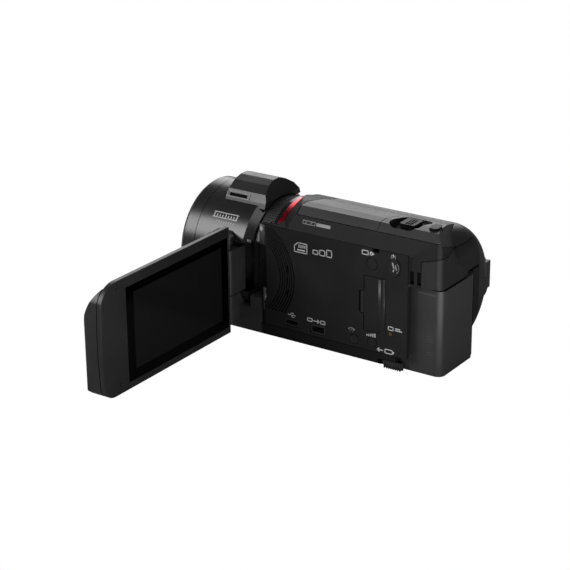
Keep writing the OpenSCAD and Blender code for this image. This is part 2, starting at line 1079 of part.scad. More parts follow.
// Back shell, thinning towards its upper and lower edges.
module screen_cover() {
  color([0.11, 0.11, 0.12])
    difference() {
      intersection() {
        along_y(screen_y - panel_t, -36.1)
          panel_outline(0);
        along_x(panel_x - 1, panel_x + panel_len + 1)
          back_section(0);
        along_z(0, 60)
          back_plan(0);
      }
      intersection() {
        along_y(screen_y - panel_t + 1.8, -35)
          panel_outline(1.8);
        along_x(panel_x - 1, panel_x + panel_len + 1)
          back_section(1.8);
        along_z(0, 60)
          back_plan(1.8);
      }
      rod_x(panel_mid_y, tilt_z, 30, 40, 1.26);
    }
}

// Side-view outline of the panel, its back curving forwards to the top edge.
module back_section(inset) {
  z_mid = 31;
  r = 36.4;
  r_low = 5.4 - inset;
  y0 = screen_y - panel_t + inset;
  z0 = panel_z + inset;
  intersection() {
    translate([y0 + r, z_mid])
      circle(r = r, $fn = 180);
    translate([y0, z_mid - 1])
      square([30, 30]);
  }
  translate([y0, z0 + r_low])
    square([20, z_mid - z0 - r_low]);
  translate([y0 + r_low, z0])
    square([20, z_mid - z0]);
  translate([y0 + r_low, z0 + r_low])
    circle(r = r_low, $fn = fine);
}

// Plan outline of the panel with the rounded free end.
module back_plan(inset) {
  r = 3.6 - inset;
  y0 = screen_y - panel_t + inset;
  x1 = panel_x + panel_len - inset;
  translate([0, y0])
    square([x1 - r, 30]);
  translate([0, y0 + r])
    square([x1, 30]);
  translate([x1 - r, y0 + r])
    circle(r = r, $fn = arc);
}

module screen_glass() {
  color([0.02, 0.02, 0.02])
    box([38.35, -34.8, 5.75], [115.05, screen_y - 0.15, 51.55]);
}

module display_panel() {
  color([0.1, 0.1, 0.12])
    box([43, -37.6, 10.2], [110.4, -35.1, 48.6]);
}

module screen_bumpers() {
  color([0.2, 0.2, 0.2])
    for (p = [[121, 52.3], [121, 6.6]])
      rod_y(p[0], p[1], screen_y, screen_y + 0.3, 1.1);
}

// ---------- strap and fasteners ----------

// Fabric strap across the right side, outline in plan.
module hand_strap() {
  color([0.08, 0.08, 0.09])
    difference() {
      union() {
        for (p = strap_bars)
          rod_z(p[0], p[1], 28, 36.4, 2.7);
        strap_band(28, 36.4, -10, 65);
        strap_band(19.7, 44.7, 0, 54);
      }
      for (p = strap_bars)
        rod_z(p[0], p[1], 20, 50, 1.6);
    }
}

// Curved band between heights z0, z1 and lengthways stations y0, y1.
module strap_band(z0, z1, y0, y1) {
  intersection() {
    difference() {
      rod_z(strap_cx, 26.4, z0, z1, strap_r);
      rod_z(strap_cx, 26.4, z0 - 1, z1 + 1, strap_r - 1.6);
    }
    box([-60, y0, z0], [0, y1, z1]);
  }
}

module case_screws() {
  color("silver")
    for (p = [[-7, -13], [13, -13], [-7, 38], [13, 38]])
      difference() {
        rod_z(p[0], p[1], 0.3, 1.7, 1.2);
        box([p[0] - 0.8, p[1] - 0.15, 0], [p[0] + 0.8, p[1] + 0.15, 0.6]);
      }
}

bottom_plate();
tripod_socket();
left_case();
right_case();
side_plate();
top_cover();
rear_top_cover();
rear_cover();
strap_lug_rear();
strap_lug_front();
neck_housing();
neck_ring();
accent_ring();
barrel_housing();
front_ring();
lens_bezel();
lens_cover_upper();
lens_cover_lower();
front_lens();
lens_tube();
guide_rods();
zoom_group();
focus_group();
image_sensor();
sensor_board();
mic_cover();
mic_grille();
mic_capsules();
main_board();
fan_frame();
fan_rotor();
speaker();
zoom_lever();
photo_button();
record_button();
power_button();
mode_button();
wireless_button();
level_button();
access_lamp();
card_door();
card_socket();
memory_card();
usb_port();
video_port();
battery_pack();
battery_terminal();
battery_latch();
dc_jack();
jack_cover();
hinge_block();
hinge_pins();
tilt_shaft();
screen_frame();
screen_cover();
screen_glass();
display_panel();
screen_bumpers();
hand_strap();
case_screws();
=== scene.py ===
import math

import bmesh
import bpy
from mathutils import Matrix, Vector


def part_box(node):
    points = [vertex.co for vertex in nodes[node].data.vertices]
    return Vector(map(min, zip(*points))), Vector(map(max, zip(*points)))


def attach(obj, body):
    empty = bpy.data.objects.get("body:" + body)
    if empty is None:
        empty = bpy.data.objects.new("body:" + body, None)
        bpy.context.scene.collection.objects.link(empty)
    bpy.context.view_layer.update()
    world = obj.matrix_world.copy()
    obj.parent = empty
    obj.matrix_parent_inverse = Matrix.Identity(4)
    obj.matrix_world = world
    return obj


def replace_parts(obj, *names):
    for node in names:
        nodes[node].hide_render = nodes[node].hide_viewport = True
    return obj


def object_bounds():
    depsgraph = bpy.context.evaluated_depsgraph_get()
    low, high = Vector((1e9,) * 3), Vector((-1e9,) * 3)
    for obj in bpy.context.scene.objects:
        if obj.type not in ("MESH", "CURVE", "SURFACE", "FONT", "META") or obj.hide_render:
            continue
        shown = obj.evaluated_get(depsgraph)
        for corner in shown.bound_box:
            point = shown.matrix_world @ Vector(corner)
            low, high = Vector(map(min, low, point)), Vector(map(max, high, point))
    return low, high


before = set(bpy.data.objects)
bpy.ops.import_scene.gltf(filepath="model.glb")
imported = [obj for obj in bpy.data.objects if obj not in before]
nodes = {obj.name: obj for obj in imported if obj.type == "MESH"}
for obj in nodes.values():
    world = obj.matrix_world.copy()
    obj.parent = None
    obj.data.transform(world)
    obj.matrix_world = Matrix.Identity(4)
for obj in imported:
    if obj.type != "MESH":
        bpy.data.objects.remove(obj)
cad_lo, cad_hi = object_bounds()
MM = 0.001

# ---------- camera and light ----------

CAM_AT = Vector((681.157, 438.402, 342.923)) * MM
CAM_AZ, CAM_EL, CAM_ROLL = 124.33, 21.61, -0.53


def axes_of(azimuth, elevation, roll):
    """Right, up and back vectors of a view, in degrees; azimuth 0 looks along +Y."""
    a, e, r = (math.radians(t) for t in (azimuth, elevation, roll))
    back = Vector((math.sin(a) * math.cos(e), -math.cos(a) * math.cos(e), math.sin(e)))
    right = Vector((math.cos(a), math.sin(a), 0))
    up = back.cross(right)
    c, s = math.cos(r), math.sin(r)
    return c * right + s * up, c * up - s * right, back


def make_camera():
    right, up, back = axes_of(CAM_AZ, CAM_EL, CAM_ROLL)
    data = bpy.data.cameras.new("camera")
    data.lens = 112.8
    data.sensor_width = 36
    data.clip_start, data.clip_end = 0.05, 20
    cam = bpy.data.objects.new("camera", data)
    bpy.context.scene.collection.objects.link(cam)
    turn = Matrix((right, up, back)).transposed().to_4x4()
    cam.matrix_world = Matrix.Translation(CAM_AT) @ turn
    bpy.context.scene.camera = cam


def softbox(name, direction, distance, size, power, target=(0, 0, 0.04)):
    """A soft area light in a direction from the object, turned to face it."""
    data = bpy.data.lights.new(name, "AREA")
    data.shape = "RECTANGLE"
    data.size, data.size_y = size
    data.energy = power
    light = bpy.data.objects.new(name, data)
    bpy.context.scene.collection.objects.link(light)
    d = Vector(direction).normalized()
    light.location = Vector(target) + d * distance
    light.rotation_mode = "QUATERNION"
    light.rotation_quaternion = d.to_track_quat("Z", "Y")
    light.visible_camera = False


def make_light():
    softbox("far_side", (-0.75, -0.52, 0.34), 1.3, (1.3, 0.7), 7.4)
    softbox("lens_side", (0.70, -0.54, 0.50), 1.3, (0.8, 0.6), 12)
    softbox("overhead", (0.1, 0.35, 1.0), 1.3, (0.9, 0.9), 5)
    softbox("near_side", (0.55, 0.78, 0.11), 1.6, (0.6, 0.3), 5)
    # glow of the paper beside the battery, from a small box just above the floor facing up
    softbox("low_side", (0.2, 0.24, -1), 0.105, (0.14, 0.10), 0.19, (0.09, 0.1, 0.108))
    scene = bpy.context.scene
    world = bpy.data.worlds.new("studio")
    scene.world = world
    world.use_nodes = True
    tree = world.node_tree
    tree.nodes.clear()
    out = tree.nodes.new("ShaderNodeOutputWorld")
    mix = tree.nodes.new("ShaderNodeMixShader")
    path = tree.nodes.new("ShaderNodeLightPath")
    room = tree.nodes.new("ShaderNodeBackground")
    room.inputs["Color"].default_value = (1, 1, 1, 1)
    room.inputs["Strength"].default_value = 0.05
    paper = tree.nodes.new("ShaderNodeBackground")
    paper.inputs["Color"].default_value = (1, 1, 1, 1)
    paper.inputs["Strength"].default_value = 1.0
    tree.links.new(path.outputs["Is Camera Ray"], mix.inputs["Fac"])
    tree.links.new(room.outputs[0], mix.inputs[1])
    tree.links.new(paper.outputs[0], mix.inputs[2])
    tree.links.new(mix.outputs[0], out.inputs["Surface"])
    scene.view_settings.view_transform = "Standard"


def make_floor():
    """Pale paper floor, lit to plain white in the picture."""
    mesh = bpy.data.meshes.new("floor")
    half, z = 4.0, cad_lo.z - 0.0002
    corners = [(-half, -half, z), (half, -half, z), (half, half, z), (-half, half, z)]
    mesh.from_pydata(corners, [], [(0, 1, 2, 3)])
    floor = bpy.data.objects.new("floor", mesh)
    bpy.context.scene.collection.objects.link(floor)
    mat = bpy.data.materials.new("paper")
    mat.use_nodes = True
    tree = mat.node_tree
    tree.nodes.clear()
    out = tree.nodes.new("ShaderNodeOutputMaterial")
    mix = tree.nodes.new("ShaderNodeMixShader")
    path = tree.nodes.new("ShaderNodeLightPath")
    glow = tree.nodes.new("ShaderNodeEmission")
    glow.inputs["Strength"].default_value = 1.0
    paper = tree.nodes.new("ShaderNodeBsdfDiffuse")
    paper.inputs["Color"].default_value = (0.3, 0.3, 0.3, 1)
    tree.links.new(path.outputs["Is Camera Ray"], mix.inputs["Fac"])
    tree.links.new(paper.outputs[0], mix.inputs[1])
    tree.links.new(glow.outputs[0], mix.inputs[2])
    tree.links.new(mix.outputs[0], out.inputs["Surface"])
    mesh.materials.append(mat)


# ---------- materials ----------


def new_material(name):
    mat = bpy.data.materials.new(name)
    mat.use_nodes = True
    tree = mat.node_tree
    return mat, tree, tree.nodes["Principled BSDF"]


def noise(tree, scale, detail=2.0):
    """Noise on object coordinates, scale in features per metre."""
    coord = tree.nodes.new("ShaderNodeTexCoord")
    tex = tree.nodes.new("ShaderNodeTexNoise")
    tex.inputs["Scale"].default_value = scale
    tex.inputs["Detail"].default_value = detail
    tree.links.new(coord.outputs["Object"], tex.inputs["Vector"])
    return tex


def spread(tree, value, low, high):
    """Maps a 0.3..0.7 value to low..high."""
    node = tree.nodes.new("ShaderNodeMapRange")
    node.inputs["From Min"].default_value = 0.3
    node.inputs["From Max"].default_value = 0.7
    node.inputs["To Min"].default_value = low
    node.inputs["To Max"].default_value = high
    tree.links.new(value, node.inputs["Value"])
    return node.outputs["Result"]


def bump(tree, shader, height, depth):
    node = tree.nodes.new("ShaderNodeBump")
    node.inputs["Strength"].default_value = 1.0
    node.inputs["Distance"].default_value = depth
    tree.links.new(height, node.inputs["Height"])
    tree.links.new(node.outputs["Normal"], shader.inputs["Normal"])


def tint(tree, value, dark, light):
    """Colour ramp between two grey or coloured values."""
    ramp = tree.nodes.new("ShaderNodeValToRGB")
    ramp.color_ramp.elements[0].position = 0.35
    ramp.color_ramp.elements[1].position = 0.65
    ramp.color_ramp.elements[0].color = (*dark, 1)
    ramp.color_ramp.elements[1].color = (*light, 1)
    tree.links.new(value, ramp.inputs["Fac"])
    return ramp.outputs["Color"]


def moulded(name, grey, rough, grain=2200, depth=0.00002, specular=0.5, hue=(1, 1, 1)):
    """Moulded plastic: spark-eroded grain, faint cloudiness in colour and gloss."""
    mat, tree, shader = new_material(name)
    cloud = noise(tree, 60, 3).outputs["Fac"]
    fine = noise(tree, grain, 2).outputs["Fac"]
    dark = [grey * 0.88 * h for h in hue]
    light = [grey * 1.12 * h for h in hue]
    tree.links.new(tint(tree, cloud, dark, light), shader.inputs["Base Color"])
    tree.links.new(spread(tree, cloud, rough - 0.03, rough + 0.03), shader.inputs["Roughness"])
    shader.inputs["Specular IOR Level"].default_value = specular
    bump(tree, shader, fine, depth)
    return mat


def metal(name, colour, rough, grain=900):
    mat, tree, shader = new_material(name)
    streak = noise(tree, grain, 3).outputs["Fac"]
    shader.inputs["Metallic"].default_value = 1.0
    dark = [c * 0.85 for c in colour]
    tree.links.new(tint(tree, streak, dark, colour), shader.inputs["Base Color"])
    tree.links.new(spread(tree, streak, rough - 0.05, rough + 0.05), shader.inputs["Roughness"])
    return mat


def glassy(name, colour, rough):
    mat, tree, shader = new_material(name)
    smear = noise(tree, 40, 3).outputs["Fac"]
    dark = [c * 0.9 for c in colour]
    tree.links.new(tint(tree, smear, dark, colour), shader.inputs["Base Color"])
    tree.links.new(spread(tree, smear, rough, rough + 0.03), shader.inputs["Roughness"])
    return mat


def screen_material():
    """Dark display behind gloss, with a black border round the picture area."""
    mat, tree, shader = new_material("screen_gloss")
    lo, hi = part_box("display_panel")
    coord = tree.nodes.new("ShaderNodeTexCoord")
    parts = tree.nodes.new("ShaderNodeSeparateXYZ")
    tree.links.new(coord.outputs["Object"], parts.inputs[0])
    inside = None
    for axis in (0, 2):
        for sign, edge in ((1, lo[axis]), (-1, hi[axis])):
            test = tree.nodes.new("ShaderNodeMath")
            test.operation = "GREATER_THAN" if sign > 0 else "LESS_THAN"
            tree.links.new(parts.outputs[axis], test.inputs[0])
            test.inputs[1].default_value = edge + sign * 0.5 * MM
            if inside is None:
                inside = test
                continue
            both = tree.nodes.new("ShaderNodeMath")
            both.operation = "MULTIPLY"
            tree.links.new(inside.outputs[0], both.inputs[0])
            tree.links.new(test.outputs[0], both.inputs[1])
            inside = both
    border, picture = (0.0002, 0.0002, 0.0002), (0.0085, 0.0085, 0.0088)
    tree.links.new(tint(tree, inside.outputs[0], border, picture), shader.inputs["Base Color"])
    smear = noise(tree, 30, 3).outputs["Fac"]
    tree.links.new(spread(tree, smear, 0.10, 0.16), shader.inputs["Roughness"])
    shader.inputs["Specular IOR Level"].default_value = 0.08
    return mat


def fabric(name, grey, pitch):
    """Woven webbing: crossing waves raise the threads."""
    mat, tree, shader = new_material(name)
    coord = tree.nodes.new("ShaderNodeTexCoord")
    height = None
    for direction in ("Y", "Z"):
        wave = tree.nodes.new("ShaderNodeTexWave")
        wave.bands_direction = direction
        wave.inputs["Scale"].default_value = 1 / pitch / 20
        wave.inputs["Distortion"].default_value = 0.3
        tree.links.new(coord.outputs["Object"], wave.inputs["Vector"])
        if height is None:
            height = wave.outputs["Fac"]
            continue
        both = tree.nodes.new("ShaderNodeMath")
        both.operation = "MULTIPLY"
        tree.links.new(height, both.inputs[0])
        tree.links.new(wave.outputs["Fac"], both.inputs[1])
        height = both.outputs[0]
    dark, light = [grey * 0.6] * 3, [grey * 1.5] * 3
    tree.links.new(tint(tree, height, dark, light), shader.inputs["Base Color"])
    shader.inputs["Roughness"].default_value = 0.9
    shader.inputs["Sheen Weight"].default_value = 0.25
    bump(tree, shader, height, 0.0002)
    return mat


MATERIALS = {
    "case": moulded("case_black", 0.013, 0.46),
    "plate": moulded("plate_black", 0.009, 0.50, specular=0.27),
    "flank": moulded("flank_black", 0.008, 0.50, specular=0.2),
    "rear": moulded("rear_black", 0.011, 0.50, specular=0.28),
    # painted light: a lighter copy of the case black for the hinge block and neck housing, standing in for
    # light on them in the panel's shade
    "hinge": moulded("hinge_black_painted_light", 0.03, 0.42),
    "top": moulded("top_satin", 0.016, 0.42, depth=0.00001),
    "barrel": moulded("barrel_satin", 0.014, 0.27, depth=0.000004),
    "hump": moulded("hump_black", 0.014, 0.38, specular=0.65),
    "battery": moulded("battery_black", 0.024, 0.42, grain=2600, depth=0.00001),
    "screen": moulded("screen_case", 0.014, 0.42),
    "gloss": moulded("gloss_black", 0.006, 0.18, depth=0.000002),
    "control": moulded("control_black", 0.010, 0.30, depth=0.000004),
    "lug": moulded("lug_black", 0.022, 0.42),
    "rubber": moulded("rubber_black", 0.010, 0.75),
    "inner": moulded("inner_grey", 0.02, 0.6),
    # deep black: the microphone grille's own colour, and painted shade on the collar step and in the
    # lever's recess
    "dark": moulded("deep_black_and_painted_shade", 0.002, 0.7, specular=0.1),
    "accent": metal("accent_red", (0.80, 0.02, 0.05), 0.28),
    "steel": metal("steel", (0.42, 0.42, 0.43), 0.32),
    "port": metal("port_steel", (0.16, 0.16, 0.165), 0.4),
    "lever": moulded("lever_black", 0.005, 0.42, depth=0.000002, specular=0.14),
    "gold": metal("gold_contacts", (0.75, 0.52, 0.2), 0.3),
    "board": moulded("solder_mask", 0.06, 0.4, hue=(0.3, 1.6, 0.6)),
    "card": moulded("card_blue", 0.05, 0.4, hue=(0.5, 0.9, 3.0)),
    "lamp": moulded("lamp_amber", 0.03, 0.3, hue=(3.0, 1.5, 0.4)),
    "lens": glassy("lens_coating", (0.012, 0.010, 0.022), 0.02),
    # lighter grey: painted highlight on the side plate's edge strips and the battery's top edge, and the
    # colour of the microphone slot rims
    "trim_and_highlight": moulded("lighter_trim_and_painted_highlight", 0.05, 0.3, depth=0.000002),
    "tick": moulded("moulded_tick", 0.05, 0.5, depth=0.000001),
    "print": moulded("printed_ink", 0.42, 0.6, depth=0.000001),
    "faint": moulded("ink_grey_and_painted_highlight", 0.24, 0.6, depth=0.000001),
    "webbing": fabric("strap_webbing", 0.012, 0.0012),
    "padding": fabric("strap_padding", 0.010, 0.0009),
    "picture": screen_material(),
}

NODE_LOOKS = {
    "case": "bottom_plate right_case",
    "flank": "left_case",
    "rear": "rear_cover",
    "hinge": "hinge_block neck_housing",
    "plate": "side_plate card_door",
    "top": "top_cover rear_top_cover",
    "barrel": "barrel_housing front_ring",
    "hump": "mic_cover",
    "battery": "battery_pack",
    "screen": "screen_frame screen_cover",
    "gloss": "neck_ring lens_bezel",
    "lever": "zoom_lever photo_button",
    "control": "record_button power_button mode_button "
    "wireless_button level_button battery_latch jack_cover",
    "picture": "screen_glass",
    "lens": "front_lens",
    "port": "usb_port video_port",
    "steel": "tripod_socket guide_rods hinge_pins tilt_shaft case_screws "
    "mic_capsules card_socket",
    "lug": "strap_lug_rear strap_lug_front",
    "gold": "battery_terminal",
    "board": "main_board sensor_board",
    "inner": "lens_cover_upper lens_cover_lower lens_tube zoom_group focus_group image_sensor "
    "fan_frame fan_rotor speaker display_panel dc_jack",
    "dark": "mic_grille",
    "rubber": "screen_bumpers",
    "webbing": "hand_strap",
    "lamp": "access_lamp",
    "card": "memory_card",
    "accent": "accent_ring",
}


def dress_nodes():
    for look, names in NODE_LOOKS.items():
        for name in names.split():
            obj = nodes[name]
            obj.data.materials.clear()
            obj.data.materials.append(MATERIALS[look])


# ---------- edges ----------

SOFT_EDGES = {
    1.4: "battery_pack",
    0.5: "screen_frame screen_cover",
    0.35: "top_cover rear_top_cover mic_cover zoom_lever photo_button hinge_block "
    "strap_lug_rear strap_lug_front record_button",
    0.2: "side_plate card_door battery_latch power_button mode_button wireless_button "
    "level_button jack_cover",
}


def soften_edges():
    """Small rounds on the moulded edges, so that they catch the light."""
    for width, names in SOFT_EDGES.items():
        for name in names.split():
            obj = nodes[name]
            weld = obj.modifiers.new("weld", "WELD")
            weld.merge_threshold = 0.000002
            bevel = obj.modifiers.new("edge", "BEVEL")
            bevel.width = width * MM
            bevel.segments = 2
            bevel.limit_method = "ANGLE"
            bevel.angle_limit = math.radians(28)
            bevel.use_clamp_overlap = True
            facing = obj.modifiers.new("facing", "WEIGHTED_NORMAL")
            facing.keep_sharp = True


# ---------- pieces built here ----------


def piece(name, verts, faces, look, body):
    """A mesh from points in millimetres, riding on a body."""
    mesh = bpy.data.meshes.new(name)
    mesh.from_pydata([Vector(v) * MM for v in verts], [], faces)
    mesh.update()
    obj = bpy.data.objects.new(name, mesh)
    bpy.context.scene.collection.objects.link(obj)
    mesh.materials.append(MATERIALS[look])
    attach(obj, body)
    return obj


SIDE_X = 29.0
BUTTON_X = 29.3
BATTERY_X = 24.5
PLATE_TOP_Z = 58.7
BARREL_R = 31
BARREL_Z = 34


def on_side(u, v, h):
    """A point on the screen-side plate: u along Y, v up."""
    return (SIDE_X + h, u, v)


def on_button(u, v, h):
    """A point on the face of the power button."""
    return (BUTTON_X + h, u, v)


def on_strip(u, v, h):
    """A point on the slanting strip above the side plate."""
    slope = 2.0 / 7.7
    return (SIDE_X - (v - PLATE_TOP_Z) * slope + h, u, v + h * slope)


def on_hump(u, v, h):
    """A point on the steep flank of the microphone cover."""
    return (14.8 - (v - 62.6) * 2.6 / 3.6 + h, u, v + h * 0.72)


def on_barrel(u, v, h):
    """A point on the barrel: u along Y, v the angle above the screen side, in degrees."""
    a = math.radians(v)
    return ((BARREL_R + h) * math.cos(a), u, BARREL_Z + (BARREL_R + h) * math.sin(a))


def on_battery(u, v, h):
    """A point on the battery's screen-side face."""
    return (BATTERY_X + h, u, v)


def on_plan(level):
    """Points on a flat top at a level: u along X, v along -Y."""
    return lambda u, v, h: (u, v, level + h)


def arc_line(u, v, r, start, end, steps=10):
    """Points along an arc, angles in degrees from +u towards +v."""
    angles = [math.radians(start + (end - start) * i / steps) for i in range(steps + 1)]
    return [(u + r * math.cos(a), v + r * math.sin(a)) for a in angles]


def frame_line(u0, v0, u1, v1):
    return [(u0, v0), (u1, v0), (u1, v1), (u0, v1), (u0, v0)]


# how far a stroke runs past its end points, as a part of its width, and how deep it is set
STROKE_CAP = 0.6
STROKE_SINK = 0.05


def strokes(name, lines, place, look, body, height=0.05):
    """Flat strokes laid on a surface. Each line is (width, points), all in millimetres;
    on the barrel the second coordinate is in degrees, so widths are scaled there."""
    verts, faces = [], []
    stretch = 1 / math.radians(BARREL_R) if place is on_barrel else 1.0
    for width, points in lines:
        for (u0, v0), (u1, v1) in zip(points, points[1:]):
            du, dv = u1 - u0, (v1 - v0) / stretch
            size = math.hypot(du, dv) or 1.0
            du, dv = du / size * width / 2, dv / size * width / 2
            base = len(verts)
            for h in (-STROKE_SINK, height):
                for along, across, (u, v) in (
                    (-1, -1, (u0, v0)),
                    (1, -1, (u1, v1)),
                    (1, 1, (u1, v1)),
                    (-1, 1, (u0, v0)),
                ):
                    side = du * across
                    ahead = dv * along * STROKE_CAP
                    pu = u + du * along * STROKE_CAP - dv * across
                    verts.append(place(pu, v + (ahead + side) * stretch, h))
            faces.append([base + i for i in (3, 2, 1, 0)])
            faces.append([base + i for i in (4, 5, 6, 7)])
            for i in range(4):
                j = (i + 1) % 4
                faces.append([base + i, base + j, base + 4 + j, base + 4 + i])
    return piece(name, verts, faces, look, body)


def bars(u, v, count, pitch, length, width):
    """Upright bars side by side."""
    return [(width, [(u + i * pitch, v), (u + i * pitch, v + length)]) for i in range(count)]


def side_marks():
    """Generic pictograms beside the controls and sockets. No lettering."""
    line = 0.42
    marks = []
    # card
    marks.append((line, [(-1.4, 48.4), (5.6, 48.4), (5.6, 53.1), (0.6, 53.1), (-1.4, 51.4), (-1.4, 48.4)]))
    marks += bars(1.2, 50.9, 4, 1.1, 1.2, 0.5)
    marks.append((0.6, [(0.4, 49.6), (4.4, 49.6)]))
    # recording format: frames of three sizes
    for i in range(3):
        marks.append((line, frame_line(9 + i * 3.8, 49.3, 11.8 + i * 3.8, 51.2 + i * 0.7)))
    # video socket
    marks.append((line, frame_line(5.8, 14.7, 8.4, 16.2)))
    marks.append((line, [(9.2, 15.4), (12.4, 15.4)]))
    marks.append((line, [(11.4, 14.7), (12.5, 15.4), (11.4, 16.2)]))
    marks.append((line, frame_line(13.2, 14.7, 15.6, 16.2)))
    # data socket
    marks.append((0.35, [(-5.4, 15.5), (-1.0, 15.5)]))
    marks.append((0.35, [(-4.2, 15.5), (-3.3, 16.5), (-2.2, 16.5)]))
    marks.append((0.35, [(-3.6, 15.5), (-2.8, 14.5), (-1.8, 14.5)]))
    # wireless
    for r in (0.7, 1.5, 2.3):
        marks.append((0.34, arc_line(30.5, 14.4, r, 45, 135)))
    # sound level
    marks += [(0.55, [(38.9 + i * 1.1, 14.8), (38.9 + i * 1.1, 15.3 + 0.3 * i)]) for i in range(5)]
    # card access
    marks.append((line, frame_line(50.4, 20.3, 53.0, 21.9)))
    marks.append((0.5, [(54.2, 20.7), (57.6, 20.7)]))
    marks.append((0.5, [(54.2, 21.6), (56.6, 21.6)]))
    # battery release
    marks.append((line, [(45.8, 8.4), (44.4, 9.2), (45.8, 10.0)]))
    marks.append((line, [(44.6, 9.2), (47.6, 9.2)]))
    marks.append((line, frame_line(48.8, 8.3, 52.8, 10.2)))
    marks.append((0.6, [(53.3, 8.9), (53.3, 9.6)]))
    # mode
    marks.append((line, frame_line(36.0, 54.8, 39.2, 56.7)))
    marks.append((0.5, [(40.4, 54.8), (40.4, 56.7), (42.4, 55.8), (40.4, 54.9)]))
    # power
    marks.append((line, arc_line(52.6, 56.2, 1.1, 125, 415, 16)))
    marks.append((line, [(52.6, 56.1), (52.6, 57.6)]))
    strokes("side_marks", marks, on_side, "print", "body")


def other_marks():
    label = [(0.3, frame_line(2.7, 62.8, 9.4, 64.3)), (0.3, [(4.4, 62.8), (4.4, 64.3)])]
    label += [(0.3, [(6.4, 62.8), (8.0, 64.3)]), (1.5, [(10.6, 63.5), (17.4, 63.5)])]
    strokes("strip_marks", label, on_strip, "faint", "body")
    badge = [(0.45, [(-53, 46.4), (-38.7, 46.4)]), (0.45, [(-53, 41.4), (-38.7, 41.4)])]
    for i in range(9):
        long_one = 1.6 if i % 4 == 0 else 0.0
        u = -52.4 + i * 1.65
        badge.append((0.55, [(u, 42.4 - long_one * 0.2), (u, 44.2 + long_one * 0.6)]))
    badge += [(0.35, [(-49.8 + i * 1.4, 37.1), (-49.8 + i * 1.4, 38.4)]) for i in range(8)]
    strokes("barrel_marks", badge, on_barrel, "print", "body")
    ticks = [(0.22, [(68.4, z), (71.0, z)]) for z in (19.5, 18.3, 17.1, 11.6, 10.6)]
    strokes("battery_ticks", ticks, on_battery, "tick", "battery")
    # painted highlight: light grey streaks and an arc along the power button's rounded rim, standing in
    # for its glint
    streak = [(0.7, [(52.4, 53.6), (53.2, 50.8), (52.7, 49.6)]), (0.5, [(53.9, 52.6), (54.5, 50.6)])]
    streak += [(0.35, arc_line(53, 51.3, 2.75, -50, 50))]
    strokes("power_button_painted_highlight", streak, on_button, "faint", "power_key")


def rounded_bar(name, at, half, depth, low, high, look, body):
    """Upright bar on the screen side with a rounded face, at (x, y)."""
    steps, verts, faces = 10, [], []
    for z in (low, high):
        for i in range(steps + 1):
            a = math.pi * i / steps
            verts.append((at[0] + depth * math.sin(a), at[1] - half * math.cos(a), z))
    row = steps + 1
    for i in range(steps):
        faces.append([i, i + 1, row + i + 1, row + i])
    faces.append([steps, 0, row, row + steps])
    faces.append(list(range(steps, -1, -1)))
    faces.append(list(range(row, 2 * row)))
    bar = piece(name, verts, faces, look, body)
    for polygon in bar.data.polygons[:steps]:
        polygon.use_smooth = True
    return bar


def side_trim():
    """Rounded edge strips of the side plate in a lighter grey as painted highlight, the door's grip and
    the latch's ribs.
    """
    rounded_bar("plate_edge_upper_painted_highlight", (28.9, -20.0), 1.5, 0.5, 48.4, 58.2, "trim_and_highlight", "body")
    rounded_bar("plate_edge_lower_painted_highlight", (26.4, -19.3), 1.5, 2.5, 14.6, 26.0, "trim_and_highlight", "body")
    rounded_bar("door_grip", (28.95, 46.5), 1.9, 0.45, 18.0, 44.0, "case", "door")
    rounded_bar("latch_grip", (27.2, 52.4), 5.4, 1.4, 0.7, 4.1, "rubber", "latch")
    for i in range(8):
        name = f"latch_rib_{i + 1}"
        rounded_bar(name, (28.2, 48.2 + i * 1.2), 0.35, 0.7, 0.5, 4.2, "rubber", "latch")


def hump_slot():
    """Raised rim round the microphone slot on each flank."""
    rim = [(0.35, frame_line(-50.4, 62.9, -37.6, 65.1))]
    strokes("mic_slot_rim", rim, on_hump, "trim_and_highlight", "body", 0.22)

    def far_flank(u, v, h):
        x, y, z = on_hump(u, v, h)
        return (-x, y, z)

    strokes("mic_slot_rim_far", rim, far_flank, "trim_and_highlight", "body", 0.22)


def lever_ribs():
    lo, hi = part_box("zoom_lever")
    mid = (lo.y + hi.y) / 2 / MM
    lines = [(0.5, [(13.6, mid + s), (19.6, mid + s)]) for s in (-1.2, 0, 1.2)]
    strokes("zoom_lever_ribs", lines, on_plan(hi.z / MM), "lever", "zoom_rocker", 0.3)


def collar_painted_shade():
    """Painted shade: a thin matt deep-black plate over the flat step between the side plate's top edge and
    the red ring.
    """
    outline = [
        (26.6, -20.2), (28.8, -20.2), (28.8, -4.6), (27.5, -6.0),
        (25.4, -7.9), (23.0, -9.8), (19.0, -11.6), (19.0, -13.1), (26.6, -13.1),
    ]
    count = len(outline)
    verts = [(x, y, z) for z in (58.6, 58.82) for x, y in outline]
    faces = [list(range(count - 1, -1, -1)), list(range(count, 2 * count))]
    for i in range(count):
        j = (i + 1) % count
        faces.append([i, j, count + j, count + i])
    piece("collar_painted_shade", verts, faces, "dark", "body")


def battery_edge_painted_highlight():
    """Painted highlight: a lighter grey flat stroke along the battery pack's rounded top edge."""
    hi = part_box("battery_pack")[1]
    level = hi.z / MM - 2.2
    lines = [(0.8, [(63.4, level), (72.6, level)])]
    strokes("battery_edge_painted_highlight", lines, on_battery, "trim_and_highlight", "battery", 0.06)


